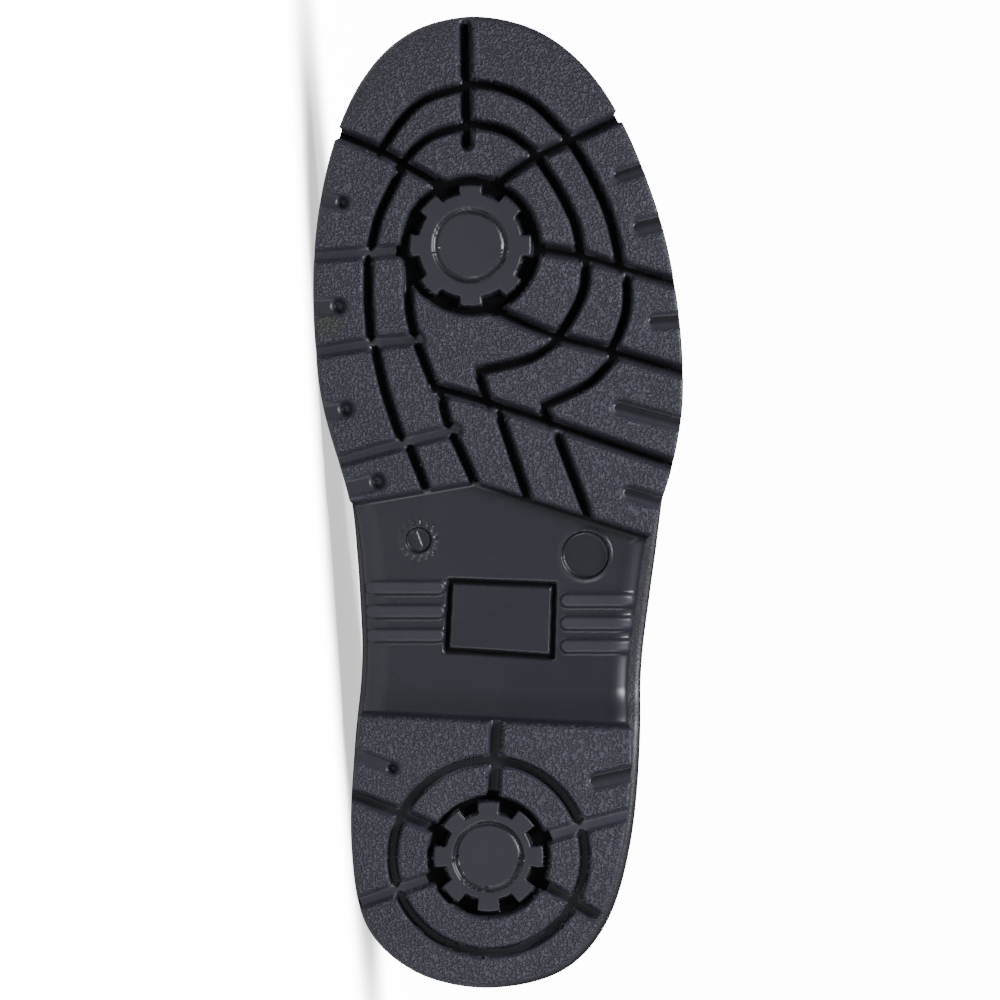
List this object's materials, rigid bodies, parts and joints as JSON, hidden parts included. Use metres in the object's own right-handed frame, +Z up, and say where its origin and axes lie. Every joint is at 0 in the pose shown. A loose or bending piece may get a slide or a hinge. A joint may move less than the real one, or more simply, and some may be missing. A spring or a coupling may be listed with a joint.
{
  "type": "lace-up safety boot",
  "caption": "Left lace-up safety boot of ankle height with a deeply lugged rubber outsole, lying on its inner side with the tread facing out.",
  "frame": {"origin": "middle of the bounding box, at the floor that the boot lies on", "axes": "-X to the toe, -Y out of the tread, +Z up, which is the boot's outer side"},
  "size_m": [0.2996, 0.1718, 0.1119],
  "materials": {
    "outsole_rubber": "satin moulded rubber with a fine grain on the lugs",
    "midsole_foam": "satin moulded",
    "insole_fabric": "matt woven",
    "upper_leather": "semi-gloss grained leather",
    "tongue_leather": "soft grained leather",
    "lace_cord": "matt braided",
    "eyelet_metal": "black painted"
  },
  "bodies": {
    "root": {"outsole": "outsole_rubber", "midsole": "midsole_foam", "insole": "insole_fabric", "upper": "upper_leather", "tongue": "tongue_leather", "lace": "lace_cord", "eyelet_outer_1": "eyelet_metal", "eyelet_inner_1": "eyelet_metal", "eyelet_outer_2": "eyelet_metal", "eyelet_inner_2": "eyelet_metal", "eyelet_outer_3": "eyelet_metal", "eyelet_inner_3": "eyelet_metal", "eyelet_outer_4": "eyelet_metal", "eyelet_inner_4": "eyelet_metal", "eyelet_outer_5": "eyelet_metal", "eyelet_inner_5": "eyelet_metal"}
  },
  "joints": []
}
